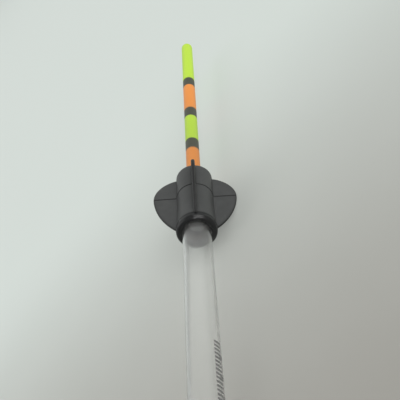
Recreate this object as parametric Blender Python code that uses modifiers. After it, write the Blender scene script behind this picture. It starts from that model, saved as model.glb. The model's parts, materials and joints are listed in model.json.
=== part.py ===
"""Clear-bodied stick float with dart fins, a banded tip that pulls off and a weighted base.

Every piece is modelled along the float's own Z axis, in metres, with the foot of the clear
tube at zero and the tip upwards. One empty then lays the whole float down on flat ground,
where it rests on two fins and on the edge of its base screw.
"""

import math

import bmesh
import bpy

# Fits between pieces
GLUE_GAP = 0.0001
SLIDE_GAP = 0.00015
FACE_GAP = 0.0001
TIP_HOLE_GAP = 0.0002

# Clear body tube
TUBE_DIAMETER = 0.0092
TUBE_WALL = 0.0006
TUBE_LENGTH = 0.132

# Socket that is glued in the top of the tube and takes the tip
SOCKET_LENGTH = 0.0288
SOCKET_FLOOR = 0.010
SOCKET_LIP = 0.0012
SOCKET_NOSE = 0.0022

# Flight collar: a sleeve and four fins in one moulding
COLLAR_LENGTH = 0.02695
COLLAR_WALL = 0.0015
COLLAR_GRIP = 0.019
COLLAR_EDGE = 0.0005
MOUTH_FLARE = 0.00025
MOUTH_LENGTH = 0.008
PARTING_DROP = 0.01085
PARTING_STEP = 0.00012
FIN_COUNT = 4
FIN_RADIUS = 0.0141
FIN_HEEL_RADIUS = 0.0078
FIN_INSET = 0.0004
FIN_ROOT_THICKNESS = 0.0015
FIN_EDGE_THICKNESS = 0.0011
FIN_EDGE_ROUND = 0.0002

# Fin outline handles: share of the way along the curve, share of the rise or fall
FIN_TOP_HANDLES = ((0.01, 0.20), (0.33, 1.00))
FIN_HEEL_HANDLES = ((0.20, 0.06), (0.61, 0.086))

# Rubber stop ring under the collar
RING_LENGTH = 0.0024
RING_WALL = 0.00195
RING_NOSE_WALL = 0.0005
RING_EDGE = 0.0004

# Banded tip, bands listed from the collar upwards
TIP_DIAMETER = 0.005
TIP_WALL = 0.0005
LOW_ORANGE_BAND = 0.01725
LOW_YELLOW_BAND = 0.0169
HIGH_ORANGE_BAND = 0.0193
END_YELLOW_BAND = 0.0366
BLACK_BAND = 0.0066
TIP_DOME = 0.0025
CAP_SHANK = 0.004
FOOT_FLANGE = 0.0008
FOOT_SHANK = 0.005
SHANK_CHAMFER = 0.0005

# Base plug and the brass insert set in it
BASE_DIAMETER = 0.0104
PLUG_DEPTH = 0.010
PLUG_FLANGE = 0.002
FLANGE_EDGE = 0.0004
INSERT_DIAMETER = 0.0048
INSERT_LENGTH = 0.007
INSERT_GROOVE = 0.0003
INSERT_GROOVE_WIDTH = 0.0012

# Washer, weights and the screw that clamps them
WASHER_DIAMETER = 0.0092
WASHER_THICKNESS = 0.0008
DISC_COUNT = 3
DISC_THICKNESS = 0.001
DISC_EDGE = 0.0002
SCREW_DIAMETER = 0.003
SCREW_GRIP = 0.0055
HEAD_LENGTH = 0.0022
HEAD_KNURLS = 36
KNURL_DEPTH = 0.00025
NOSE_LENGTH = 0.0036
NOSE_DIAMETER = 0.0048

# Swivel barrel and line eye
BARREL_DIAMETER = 0.0032
BARREL_SEAT = 0.0022
BARREL_REACH = 0.0022
BARREL_FLOOR = 0.0008
BARREL_EDGE = 0.0006
WIRE_DIAMETER = 0.0009
EYE_HEAD_DIAMETER = 0.0019
EYE_HEAD_THICKNESS = 0.0008
EYE_NECK = 0.0006
EYE_HOLE = 0.003

# Mesh fineness
TURN_STEPS = 40
SMALL_TURN_STEPS = 24
ARC_STEPS = 5
FIN_STEPS = 9
WIRE_STEPS = 12
SEAM_MERGE = 0.000001

# Radii and heights that several pieces share
tube_radius = TUBE_DIAMETER / 2
tube_bore = tube_radius - TUBE_WALL
collar_bore = tube_radius + GLUE_GAP
collar_radius = collar_bore + COLLAR_WALL
tip_radius = TIP_DIAMETER / 2
tip_bore = tip_radius - TIP_WALL
base_radius = BASE_DIAMETER / 2
screw_radius = SCREW_DIAMETER / 2
wire_radius = WIRE_DIAMETER / 2

collar_low = TUBE_LENGTH - COLLAR_GRIP
collar_top = collar_low + COLLAR_LENGTH
ring_low = collar_low - FACE_GAP - RING_LENGTH
socket_seat = TUBE_LENGTH + FACE_GAP
socket_low = socket_seat - SOCKET_LENGTH
tip_low = socket_low + SOCKET_FLOOR + FACE_GAP
bands = (
    LOW_ORANGE_BAND,
    BLACK_BAND,
    LOW_YELLOW_BAND,
    BLACK_BAND,
    HIGH_ORANGE_BAND,
    BLACK_BAND,
    END_YELLOW_BAND,
)
tip_top = collar_top + sum(bands)
plug_low = -FACE_GAP - PLUG_FLANGE
washer_low = plug_low - FACE_GAP - WASHER_THICKNESS
disc_pitch = DISC_THICKNESS + FACE_GAP
head_top = washer_low - DISC_COUNT * disc_pitch - FACE_GAP
head_low = head_top - HEAD_LENGTH
nose_low = head_low - NOSE_LENGTH
barrel_low = nose_low - BARREL_REACH
eye_radius = (EYE_HOLE + WIRE_DIAMETER) / 2
eye_centre = barrel_low - EYE_NECK - eye_radius
eye_low = eye_centre - eye_radius - wire_radius


# Clear the scene and make the two collections

for old in list(bpy.data.objects):
    bpy.data.objects.remove(old)
float_parts = bpy.data.collections.new("finned_float")
cutters = bpy.data.collections.new("float_guides")
bpy.context.scene.collection.children.link(float_parts)
bpy.context.scene.collection.children.link(cutters)


def finish_material(name, colour, roughness, metallic=0.0, alpha=1.0):
    """A Principled material in one colour."""
    material = bpy.data.materials.new(name)
    material.use_nodes = True
    shader = material.node_tree.nodes["Principled BSDF"]
    shader.inputs["Base Color"].default_value = (*colour, 1.0)
    shader.inputs["Roughness"].default_value = roughness
    shader.inputs["Metallic"].default_value = metallic
    shader.inputs["Alpha"].default_value = alpha
    return material


yellow_paint = finish_material("yellow_paint", (0.55, 0.80, 0.09), 0.4)
orange_paint = finish_material("orange_paint", (0.87, 0.33, 0.09), 0.4)
black_paint = finish_material("black_paint", (0.05, 0.055, 0.035), 0.45)
collar_plastic = finish_material("collar_plastic", (0.035, 0.035, 0.035), 0.5)
clear_plastic = finish_material("clear_plastic", (0.92, 0.93, 0.94), 0.08, alpha=0.3)
frosted_plastic = finish_material("frosted_plastic", (0.80, 0.80, 0.79), 0.35, alpha=0.5)
black_rubber = finish_material("black_rubber", (0.015, 0.015, 0.016), 0.35)
brass = finish_material("brass", (0.70, 0.50, 0.22), 0.3, metallic=1.0)
steel = finish_material("steel", (0.62, 0.62, 0.63), 0.25, metallic=1.0)


# The float lies with two fins and the base screw's edge on the ground, tip towards +Y

fin_spread = math.pi / FIN_COUNT
fin_drop = (FIN_RADIUS + FIN_EDGE_THICKNESS / 2 - FIN_EDGE_ROUND) * math.cos(fin_spread)
fin_height = collar_top - PARTING_DROP
tilt = math.atan2(fin_drop - base_radius, fin_height - head_low)
rest = bpy.data.objects.new("float_rest", None)
rest.rotation_mode = "ZYX"
rest.rotation_euler = (tilt - math.pi / 2, 0.0, -fin_spread)
rest.location = (
    0.0,
    -(tip_top + eye_low) / 2 * math.cos(tilt),
    fin_drop * math.cos(tilt) - fin_height * math.sin(tilt),
)
float_parts.objects.link(rest)


def place(item, height, material=None, collection=float_parts):
    """Stand an object on the float's axis at a height, under the resting empty."""
    collection.objects.link(item)
    item.parent = rest
    item.location = (0.0, 0.0, height)
    if material:
        item.data.materials.append(material)
    if collection is cutters:
        item.hide_render = True
        item.display_type = "WIRE"
    return item


def turned(name, profile, height, material, ring=True, steps=TURN_STEPS):
    """Turn a profile of (radius, height) points, down the outer side and up the bore.

    A ring's profile closes on itself. A solid's profile starts and ends on the axis.
    """
    mesh = bpy.data.meshes.new(name)
    count = len(profile)
    edges = [(i, i + 1) for i in range(count - 1)]
    if ring:
        edges.append((count - 1, 0))
    mesh.from_pydata([(r, 0.0, z) for r, z in profile], edges, [])
    item = bpy.data.objects.new(name, mesh)
    screw = item.modifiers.new("Turn", "SCREW")
    screw.steps = screw.render_steps = steps
    screw.use_merge_vertices = True
    screw.merge_threshold = SEAM_MERGE
    return place(item, height, material)


def corner(centre_r, centre_z, radius, start, end, radius_z=None):
    """Points of a rounded corner, an arc between two angles given in degrees."""
    radius_z = radius_z or radius
    points = []
    for step in range(ARC_STEPS + 1):
        angle = math.radians(start + (end - start) * step / ARC_STEPS)
        points.append((centre_r + radius * math.cos(angle), centre_z + radius_z * math.sin(angle)))
    return points


def as_mesh(item):
    """Replace an object's mesh by its evaluated one, with its modifiers applied."""
    finished = item.evaluated_get(bpy.context.evaluated_depsgraph_get())
    item.data = bpy.data.meshes.new_from_object(finished)
    item.modifiers.clear()


def join(item, guide):
    """Add a guide's volume to an object."""
    union = item.modifiers.new(guide.name, "BOOLEAN")
    union.operation = "UNION"
    union.object = guide


def bezier(points, steps):
    """Points along a cubic curve, from its two ends and its two handles."""
    curve = []
    for step in range(steps + 1):
        t = step / steps
        weights = ((1 - t) ** 3, 3 * t * (1 - t) ** 2, 3 * t * t * (1 - t), t**3)
        curve.append(tuple(sum(w * p[axis] for w, p in zip(weights, points)) for axis in (0, 1)))
    return curve


# Clear tube

turned(
    "body_tube",
    [(tube_radius, TUBE_LENGTH), (tube_radius, 0.0), (tube_bore, 0.0), (tube_bore, TUBE_LENGTH)],
    0.0,
    clear_plastic,
)


# Tip socket: a closed sleeve in the tube, with a lip on the tube's end and a rounded nose

socket_radius = tube_bore - GLUE_GAP
socket_bore = tip_radius + SLIDE_GAP
socket_profile = [
    (tube_radius, SOCKET_LENGTH + SOCKET_LIP),
    (tube_radius, SOCKET_LENGTH),
    (socket_radius, SOCKET_LENGTH),
    *corner(socket_radius - SOCKET_NOSE, SOCKET_NOSE, SOCKET_NOSE, 0, -90),
    (0.0, 0.0),
]
socket_hollow = [
    (0.0, SOCKET_FLOOR),
    (socket_bore, SOCKET_FLOOR),
    (socket_bore, SOCKET_LENGTH + SOCKET_LIP),
]
turned("antenna_socket", [*socket_hollow, *socket_profile], socket_low, frosted_plastic, ring=False)


# Flight collar sleeve: the upper half of the moulding stands a step proud of the lower half

parting = COLLAR_LENGTH - PARTING_DROP
lower_radius = collar_radius - PARTING_STEP
mouth_radius = lower_radius + MOUTH_FLARE
shoulder = socket_seat + SOCKET_LIP + FACE_GAP - collar_low
tip_hole = tip_radius + TIP_HOLE_GAP
flight_collar = turned(
    "flight_collar",
    [
        (tip_hole, COLLAR_LENGTH),
        *corner(collar_radius - COLLAR_EDGE, COLLAR_LENGTH - COLLAR_EDGE, COLLAR_EDGE, 90, 0),
        (collar_radius, parting),
        (lower_radius, parting - PARTING_STEP),
        *bezier(
            (
                (lower_radius, MOUTH_LENGTH),
                (lower_radius, MOUTH_LENGTH / 2),
                (mouth_radius, MOUTH_LENGTH / 3),
                (mouth_radius, 0.0),
            ),
            ARC_STEPS,
        ),
        (collar_bore, 0.0),
        (collar_bore, shoulder),
        (tip_hole, shoulder),
    ],
    collar_low,
    collar_plastic,
)


def curve_between(start, end, handles, steps):
    """A cubic from start to end, its handles given as shares of the way across and down."""
    span = end[0] - start[0]
    rise = end[1] - start[1]
    inner = [(start[0] + along * span, start[1] + up * rise) for along, up in handles]
    return bezier((start, *inner, end), steps)


# Fins: a tapered plate under two curves that meet at the parting plane, thinner below it

fin_root = collar_radius - COLLAR_WALL / 2
fin_taper = (FIN_ROOT_THICKNESS - FIN_EDGE_THICKNESS) / (FIN_RADIUS - fin_root)
top_outline = curve_between(
    (COLLAR_LENGTH - COLLAR_EDGE - FIN_INSET, collar_radius + FIN_INSET),
    (parting, FIN_RADIUS),
    FIN_TOP_HANDLES,
    FIN_STEPS,
)
heel_outline = curve_between(
    (parting - PARTING_STEP, FIN_RADIUS - PARTING_STEP),
    (FIN_INSET, FIN_HEEL_RADIUS),
    FIN_HEEL_HANDLES,
    FIN_STEPS,
)


def fin_section(height, edge, step):
    """Six corners of the fin's section at one height: a tapered plate with a rounded edge."""
    half_root = FIN_ROOT_THICKNESS / 2 - step
    inner = edge - FIN_EDGE_ROUND
    half_inner = half_root - fin_taper * (inner - fin_root) / 2
    half_edge = half_inner - FIN_EDGE_ROUND
    side = [(fin_root, half_root), (inner, half_inner), (edge, half_edge)]
    return [(r, y, height) for r, y in side] + [(r, -y, height) for r, y in reversed(side)]


def fin_mesh():
    """Loft the fin through its sections, from its top to its heel."""
    sections = [fin_section(z, r, 0.0) for z, r in top_outline]
    sections += [fin_section(z, r, PARTING_STEP) for z, r in heel_outline]
    shape = bmesh.new()
    rows = [[shape.verts.new(point) for point in section] for section in sections]
    for upper, lower in zip(rows, rows[1:]):
        for i in range(len(upper)):
            shape.faces.new((upper[i], upper[i - 1], lower[i - 1], lower[i]))
    shape.faces.new(rows[0])
    shape.faces.new(reversed(rows[-1]))
    bmesh.ops.recalc_face_normals(shape, faces=shape.faces)
    mesh = bpy.data.meshes.new("fin")
    shape.to_mesh(mesh)
    shape.free()
    return mesh


fin = fin_mesh()
for number in range(FIN_COUNT):
    blade = place(bpy.data.objects.new(f"fin_{number + 1}", fin), collar_low, collection=cutters)
    blade.rotation_euler.z = 2 * math.pi * number / FIN_COUNT
    join(flight_collar, blade)


# Stop ring: a rubber ring with a round shoulder, thin where it ends on the tube

ring_bore = tube_radius + GLUE_GAP
ring_radius = ring_bore + RING_WALL
nose_radius = ring_bore + RING_NOSE_WALL
turned(
    "stop_ring",
    [
        *corner(ring_radius - RING_EDGE, RING_LENGTH - RING_EDGE, RING_EDGE, 90, 0),
        *corner(nose_radius, RING_LENGTH / 2, ring_radius - nose_radius, 0, -90, RING_LENGTH / 2),
        (ring_bore, 0.0),
        (ring_bore, RING_LENGTH),
    ],
    ring_low,
    black_rubber,
)


# Tip: a hollow painted tube, with ring edges where the bands meet

tube_foot = FOOT_FLANGE + FACE_GAP
band_edges = [collar_top - tip_low + sum(bands[:n]) for n in range(1, len(bands))]
tube_end = tip_top - tip_low - TIP_DOME - FACE_GAP
antenna_tube = turned(
    "antenna_tube",
    [
        (tip_radius, tube_end),
        *[(tip_radius, edge) for edge in reversed(band_edges)],
        (tip_radius, tube_foot),
        (tip_bore, tube_foot),
        (tip_bore, tube_end),
    ],
    tip_low,
    orange_paint,
)
as_mesh(antenna_tube)
paints = antenna_tube.data.materials
paints.append(black_paint)
paints.append(yellow_paint)
band_paints = [orange_paint, black_paint, yellow_paint, black_paint] * 2
for face in antenna_tube.data.polygons:
    band = sum(face.center.z > edge for edge in band_edges)
    if math.hypot(face.center.x, face.center.y) > tip_bore:
        face.material_index = paints.find(band_paints[band].name)


# Tip cap: a dome on the tube's end, and a foot plug that seals its other end

shank_radius = tip_bore - GLUE_GAP
turned(
    "antenna_cap",
    [
        *corner(0.0, CAP_SHANK, tip_radius, 90, 0, TIP_DOME),
        (shank_radius, CAP_SHANK),
        (shank_radius, SHANK_CHAMFER),
        (shank_radius - SHANK_CHAMFER, 0.0),
        (0.0, 0.0),
    ],
    tip_top - TIP_DOME - CAP_SHANK,
    yellow_paint,
    ring=False,
)
turned(
    "antenna_foot",
    [
        (0.0, FOOT_FLANGE + FOOT_SHANK),
        (shank_radius - SHANK_CHAMFER, FOOT_FLANGE + FOOT_SHANK),
        (shank_radius, FOOT_FLANGE + FOOT_SHANK - SHANK_CHAMFER),
        (shank_radius, FOOT_FLANGE),
        (tip_radius, FOOT_FLANGE),
        (tip_radius, SHANK_CHAMFER),
        (tip_radius - SHANK_CHAMFER, 0.0),
        (0.0, 0.0),
    ],
    tip_low,
    black_paint,
    ring=False,
)


# Base plug: closes the tube's foot, with a blind hole for the brass insert

plug_radius = tube_bore - GLUE_GAP
insert_seat = INSERT_DIAMETER / 2 + GLUE_GAP
seat_depth = INSERT_LENGTH + FACE_GAP
plug_top = PLUG_FLANGE + FACE_GAP + PLUG_DEPTH
turned(
    "base_plug",
    [
        (0.0, plug_top),
        (plug_radius - SHANK_CHAMFER, plug_top),
        (plug_radius, plug_top - SHANK_CHAMFER),
        (plug_radius, PLUG_FLANGE),
        *corner(base_radius - FLANGE_EDGE, PLUG_FLANGE - FLANGE_EDGE, FLANGE_EDGE, 90, 0),
        (base_radius, 0.0),
        (insert_seat, 0.0),
        (insert_seat, seat_depth),
        (0.0, seat_depth),
    ],
    plug_low,
    collar_plastic,
    ring=False,
)


# Brass insert: a nut with a groove that keys it in the plug

insert_radius = INSERT_DIAMETER / 2
thread_bore = screw_radius + SLIDE_GAP
groove_low = (INSERT_LENGTH - INSERT_GROOVE_WIDTH) / 2
groove_high = groove_low + INSERT_GROOVE_WIDTH
turned(
    "threaded_insert",
    [
        (insert_radius, INSERT_LENGTH),
        (insert_radius, groove_high),
        (insert_radius - INSERT_GROOVE, groove_high),
        (insert_radius - INSERT_GROOVE, groove_low),
        (insert_radius, groove_low),
        (insert_radius, 0.0),
        (thread_bore, 0.0),
        (thread_bore, INSERT_LENGTH),
    ],
    plug_low,
    brass,
    steps=SMALL_TURN_STEPS,
)


def washer(name, diameter, thickness, edge, height, material):
    """A flat ring on the screw, with its outer edges broken."""
    radius = diameter / 2
    profile = [
        (radius - edge, thickness),
        (radius, thickness - edge),
        (radius, edge),
        (radius - edge, 0.0),
        (thread_bore, 0.0),
        (thread_bore, thickness),
    ]
    return turned(name, profile, height, material)


washer("seal_washer", WASHER_DIAMETER, WASHER_THICKNESS, DISC_EDGE, washer_low, black_rubber)
for number in range(1, DISC_COUNT + 1):
    disc_low = washer_low - number * disc_pitch
    washer(f"weight_disc_{number}", BASE_DIAMETER, DISC_THICKNESS, DISC_EDGE, disc_low, brass)


# Base screw: a shank through the weights, a knurled head and a round nose bored for the swivel

barrel_radius = BARREL_DIAMETER / 2
nose_end = NOSE_DIAMETER / 2
core_radius = base_radius - 2 * KNURL_DEPTH
shank_top = plug_low - nose_low + SCREW_GRIP
head_height = head_low - nose_low
barrel_seat = barrel_radius + GLUE_GAP
base_screw = turned(
    "base_screw",
    [
        (0.0, shank_top),
        (screw_radius - DISC_EDGE, shank_top),
        (screw_radius, shank_top - DISC_EDGE),
        (screw_radius, head_height + HEAD_LENGTH - DISC_EDGE),
        (core_radius, head_height + HEAD_LENGTH - DISC_EDGE),
        *corner(nose_end, head_height, core_radius - nose_end, 0, -90, head_height),
        (barrel_seat, 0.0),
        (barrel_seat, BARREL_SEAT),
        (0.0, BARREL_SEAT),
    ],
    nose_low,
    brass,
    ring=False,
)


def knurl_mesh():
    """A short cylinder whose every other corner is drawn in, which leaves upright ridges."""
    shape = bmesh.new()
    bmesh.ops.create_cone(
        shape,
        cap_ends=True,
        segments=2 * HEAD_KNURLS,
        radius1=base_radius,
        radius2=base_radius,
        depth=HEAD_LENGTH,
    )
    crest_angle = math.pi / HEAD_KNURLS
    for vert in shape.verts:
        turn = round(math.atan2(vert.co.y, vert.co.x) / crest_angle - 0.25)
        if turn % 2:
            scale = (base_radius - KNURL_DEPTH) / base_radius
            vert.co.x *= scale
            vert.co.y *= scale
    mesh = bpy.data.meshes.new("knurl")
    shape.to_mesh(mesh)
    shape.free()
    return mesh


knurl_height = head_low + HEAD_LENGTH / 2
knurl = place(bpy.data.objects.new("head_knurl", knurl_mesh()), knurl_height, collection=cutters)
join(base_screw, knurl)


# Swivel barrel: pressed in the nose, its floor drawn in round the wire

wire_hole = wire_radius + SLIDE_GAP
head_room = EYE_HEAD_DIAMETER / 2 + SLIDE_GAP
barrel_top = BARREL_REACH + BARREL_SEAT - FACE_GAP
turned(
    "swivel_barrel",
    [
        (barrel_radius, barrel_top),
        *corner(barrel_radius - BARREL_EDGE, BARREL_EDGE, BARREL_EDGE, 0, -90),
        (wire_hole, 0.0),
        (wire_hole, BARREL_FLOOR),
        (head_room, BARREL_FLOOR),
        (head_room, barrel_top),
    ],
    barrel_low,
    steel,
    steps=SMALL_TURN_STEPS,
)


# Line eye: a headed wire that turns in the barrel and ends in a closed loop

head_low_face = BARREL_FLOOR + FACE_GAP
stem_low = -EYE_NECK - wire_radius
line_eye = turned(
    "line_eye",
    [
        (0.0, head_low_face + EYE_HEAD_THICKNESS),
        (EYE_HEAD_DIAMETER / 2 - DISC_EDGE, head_low_face + EYE_HEAD_THICKNESS),
        (EYE_HEAD_DIAMETER / 2, head_low_face + EYE_HEAD_THICKNESS - DISC_EDGE),
        (EYE_HEAD_DIAMETER / 2, head_low_face),
        (wire_radius, head_low_face),
        (wire_radius, stem_low),
        (0.0, stem_low),
    ],
    barrel_low,
    steel,
    ring=False,
    steps=WIRE_STEPS,
)
bpy.ops.mesh.primitive_torus_add(
    major_radius=eye_radius,
    minor_radius=wire_radius,
    major_segments=SMALL_TURN_STEPS,
    minor_segments=WIRE_STEPS,
)
loop = bpy.context.object
loop.name = "eye_loop"
for collection in list(loop.users_collection):
    collection.objects.unlink(loop)
place(loop, eye_centre, collection=cutters)
loop.rotation_euler.x = math.pi / 2
join(line_eye, loop)
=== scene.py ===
import json
import math

import bpy
import numpy as np
from mathutils import Matrix


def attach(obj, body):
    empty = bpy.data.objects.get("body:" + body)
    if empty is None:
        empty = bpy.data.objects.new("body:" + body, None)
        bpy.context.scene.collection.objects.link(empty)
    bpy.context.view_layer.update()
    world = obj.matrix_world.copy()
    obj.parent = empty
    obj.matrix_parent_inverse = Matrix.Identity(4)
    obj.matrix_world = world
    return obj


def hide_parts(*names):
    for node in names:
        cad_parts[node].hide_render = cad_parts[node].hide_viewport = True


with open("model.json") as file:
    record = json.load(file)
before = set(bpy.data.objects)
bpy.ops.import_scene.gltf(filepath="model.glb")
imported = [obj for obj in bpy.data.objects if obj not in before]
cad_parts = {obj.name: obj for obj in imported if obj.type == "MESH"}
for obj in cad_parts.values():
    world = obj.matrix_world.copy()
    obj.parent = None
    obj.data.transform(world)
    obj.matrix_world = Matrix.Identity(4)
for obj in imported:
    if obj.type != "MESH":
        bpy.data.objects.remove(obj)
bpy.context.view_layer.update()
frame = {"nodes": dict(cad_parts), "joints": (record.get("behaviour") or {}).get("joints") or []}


# Body tube: a drawn tube of clear plastic with a thin wall, cut square at both ends. It is the
# float's air chamber, with the tip socket glued in its top and the base plug in its foot.

joints = {joint["name"]: joint for joint in frame["joints"]}
along = np.array(joints["tip_pull"]["axis"])
along /= np.linalg.norm(along)
level = np.array((1.0, 0.0, 0.0))
upright = np.cross(level, along)
# Rows: the directions of two neighbouring fins, and the float's axis towards its tip
own_axes = np.array(((level + upright) / math.sqrt(2), (level - upright) / math.sqrt(2), along))
axis_point = np.array(joints["screw_turn"]["pos_m"])

TUBE_WALL = 0.0006
TUBE_CUT_ROUND = 0.00012
TUBE_CLEAR = (0.97, 0.97, 0.965, 1.0)
TUBE_SMEAR_AND_SHADE = (0.79, 0.79, 0.78, 1.0)
# For each painted shade line, standing in for the dark line the tube's wall makes by bending light:
# its turn at the tube's top, its drift per metre down the tube, its strength
SHADE_LINES = ((math.radians(-32), math.radians(-320), 1.15), (math.radians(29), 0.0, 0.45))
SHADE_LINE_WIDTH = math.radians(10)
CREASE_ANGLE = math.radians(40)


def reach(node):
    """Where a CAD node starts and ends along the float's axis, and its greatest radius."""
    mesh = frame["nodes"][node].data
    corners = np.empty(3 * len(mesh.vertices))
    mesh.vertices.foreach_get("co", corners)
    own = (corners.reshape(-1, 3) - axis_point) @ own_axes.T
    return own[:, 2].min(), own[:, 2].max(), np.hypot(own[:, 0], own[:, 1]).max()


def add_piece(name, points, faces):
    """A new object at the origin, with a mesh of these points and faces."""
    mesh = bpy.data.meshes.new(name)
    mesh.from_pydata(points, [], faces)
    piece = bpy.data.objects.new(name, mesh)
    bpy.context.scene.collection.objects.link(piece)
    return piece


def skin(name, own_points, ring=False, marks=None):
    """A smooth closed mesh over a grid of points given along the float's own axes.

    Columns run round, and the last joins the first. In a ring the last row joins the first
    too. An end row whose points fall on one spot becomes a pole. Marks are values per point.
    """
    rows, columns = own_points.shape[:2]
    number = np.arange(rows * columns).reshape(rows, columns)
    for end in (0, -1):
        if np.ptp(own_points[end], axis=0).max() < 1e-9:
            number[end] = number[end, 0]
    upper = number if ring else number[:-1]
    lower = np.roll(number, -1, axis=0) if ring else number[1:]
    faces = np.stack((upper, lower, np.roll(lower, -1, 1), np.roll(upper, -1, 1)), axis=-1)
    used, faces = np.unique(faces, return_inverse=True)
    faces = faces.reshape(-1, 4)
    at_top = faces[:, 0] == faces[:, 3]
    at_foot = faces[:, 1] == faces[:, 2]
    shapes = faces[~(at_top | at_foot)].tolist()
    shapes += faces[at_top][:, (0, 1, 2)].tolist()
    shapes += faces[at_foot][:, (0, 1, 3)].tolist()
    piece = add_piece(name, axis_point + own_points.reshape(-1, 3)[used] @ own_axes, shapes)
    piece.data.shade_smooth()
    piece.data.set_sharp_from_angle(angle=CREASE_ANGLE)
    for mark, values in (marks or {}).items():
        attribute = piece.data.attributes.new(mark, "FLOAT", "POINT")
        attribute.data.foreach_set("value", values.ravel()[used])
    return piece


def rounded(corners, steps=5, past=1.4):
    """Round off a profile's corners, each given as radius, height and size of the round.

    A corner becomes the quadratic curve between two points set back from it by its round. One
    more point a little past each end of the curve keeps the straight sides flat in the shading.
    """
    corners = np.array(corners)
    spots, back = corners[:, :2], corners[:, 2:]
    before = np.roll(spots, 1, axis=0) - spots
    after = np.roll(spots, -1, axis=0) - spots
    before /= np.linalg.norm(before, axis=1, keepdims=True)
    after /= np.linalg.norm(after, axis=1, keepdims=True)
    t = np.linspace(0, 1, steps + 1)[:, None, None]
    curve = spots + back * ((1 - t) ** 2 * before + t**2 * after)
    beyond = np.stack((spots + past * back * before, spots + past * back * after))
    rows = np.concatenate((beyond[:1], curve, beyond[1:])).transpose(1, 0, 2).reshape(-1, 2)
    apart = np.linalg.norm(np.diff(rows, axis=0), axis=1) > 1e-8
    return rows[np.append(True, apart)]


def turned(name, profile, ring=True, steps=96):
    """Carry a profile round the axis: its radius times the angle's cosine and sine, at its height.

    The profile runs down the outer side, so that its faces point outwards.
    """
    radius, height = np.array(profile).T[..., None]
    angle = np.linspace(0, 2 * np.pi, steps, endpoint=False)
    own_points = (radius * np.cos(angle), radius * np.sin(angle), height + 0 * angle)
    return skin(name, np.stack(own_points, axis=-1), ring)


class Shade:
    """A socket in a material's node tree. Arithmetic on it adds Math nodes."""

    def __init__(self, tree, socket=None):
        self.tree = tree
        self.socket = socket

    def node(self, kind, sockets=None, output=0, stops=(), **settings):
        """Add a node with its settings, a ramp's stops, and its sockets by name or number."""
        item = self.tree.nodes.new("ShaderNode" + kind)
        for key, value in settings.items():
            setattr(item, key, value)
        for count, (spot, colour) in enumerate(stops):
            elements = item.color_ramp.elements
            stop = elements[count] if count < len(elements) else elements.new(spot)
            stop.position = spot
            stop.color = (*colour, 1.0)
        for key, value in (sockets or {}).items():
            if isinstance(value, Shade):
                self.tree.links.new(value.socket, item.inputs[key])
            else:
                item.inputs[key].default_value = value
        return Shade(self.tree, item.outputs[output] if len(item.outputs) else None)

    def math(self, operation, *values):
        """Add a Math node that works on the values."""
        return self.node("Math", dict(enumerate(values)), operation=operation)

    def __add__(self, other):
        return self.math("ADD", self, other)

    def __radd__(self, other):
        return self.math("ADD", other, self)

    def __sub__(self, other):
        return self.math("SUBTRACT", self, other)

    def __rsub__(self, other):
        return self.math("SUBTRACT", other, self)

    def __mul__(self, other):
        return self.math("MULTIPLY", self, other)

    def __rmul__(self, other):
        return self.math("MULTIPLY", other, self)

    def between(self, low, high):
        """Zero below one value and one above another, with a smooth rise from one to the other."""
        sockets = {"Value": self, "From Min": low, "From Max": high}
        return self.node("MapRange", sockets, interpolation_type="SMOOTHSTEP")

    def blend(self, first, second):
        """One colour where this value is zero and another where it is one."""
        return self.node("Mix", {0: self, 6: first, 7: second}, output=2, data_type="RGBA")

    def noise(self, place, size, detail=2.0):
        """Soft random spots of about one size, in metres."""
        return self.node("TexNoise", {"Vector": place, "Scale": 1.0 / size, "Detail": detail})

    def bump(self, height, depth, strength=1.0):
        """A surface raised by up to a depth, in metres."""
        return self.node("Bump", {"Height": height, "Distance": depth, "Strength": strength})


def new_finish(name):
    """An empty material and a start for its nodes."""
    material = bpy.data.materials.new(name)
    material.use_nodes = True
    material.node_tree.nodes.clear()
    return material, Shade(material.node_tree)


def surface(nodes, sockets):
    """A Principled shader as the material's surface."""
    nodes.node("OutputMaterial", {"Surface": nodes.node("BsdfPrincipled", sockets)})


def own_place(nodes, drawn_out=1.0):
    """Places measured along the float's own axes, with patterns drawn out along its length."""
    place = nodes.node("TexCoord", output="Object")
    place = nodes.node("VectorMath", {0: place, 1: tuple(axis_point)}, operation="SUBTRACT")
    across, over, length = (
        nodes.node("VectorMath", {0: place, 1: tuple(axis)}, "Value", operation="DOT_PRODUCT")
        for axis in own_axes
    )
    return nodes.node("CombineXYZ", {0: across, 1: over, 2: length * (1.0 / drawn_out)})


def own_height(nodes):
    """The height along the float's axis, towards its tip."""
    return nodes.node("SeparateXYZ", {0: own_place(nodes)}, output="Z")


def turn_round(nodes):
    """The angle round the float's axis, from the upper fin towards the fin on its right."""
    own = own_place(nodes)
    across, over = (nodes.node("SeparateXYZ", {0: own}, output=side) for side in "XY")
    return nodes.math("ARCTAN2", over, across)


tube_foot, tube_top, tube_radius = reach("body_tube")
tube_bore = tube_radius - TUBE_WALL
body_tube = turned(
    "clear_body_tube",
    rounded(
        [
            (tube_radius, tube_top, TUBE_CUT_ROUND),
            (tube_radius, tube_foot, TUBE_CUT_ROUND),
            (tube_bore, tube_foot, TUBE_CUT_ROUND),
            (tube_bore, tube_top, TUBE_CUT_ROUND),
        ]
    ),
    steps=128,
)
clear_plastic, nodes = new_finish("clear_plastic")
draw_lines = nodes.noise(own_place(nodes, drawn_out=600), 0.0004)
smears = nodes.noise(own_place(nodes, drawn_out=4), 0.006, detail=4)
turn = turn_round(nodes)
below_top = float(tube_top) - own_height(nodes)
# Painted shade: two dark lines along the tube, standing in for those its wall makes by bending the
# light
shade_lines = 0.0
for line_turn, drift, strength in SHADE_LINES:
    off_line = (turn - line_turn - drift * below_top) * (1.0 / SHADE_LINE_WIDTH)
    shade_lines = shade_lines + strength * nodes.math("EXPONENT", -1.0 * off_line * off_line)
smears_and_shade_lines = 0.75 * shade_lines + 0.20 * smears
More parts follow.
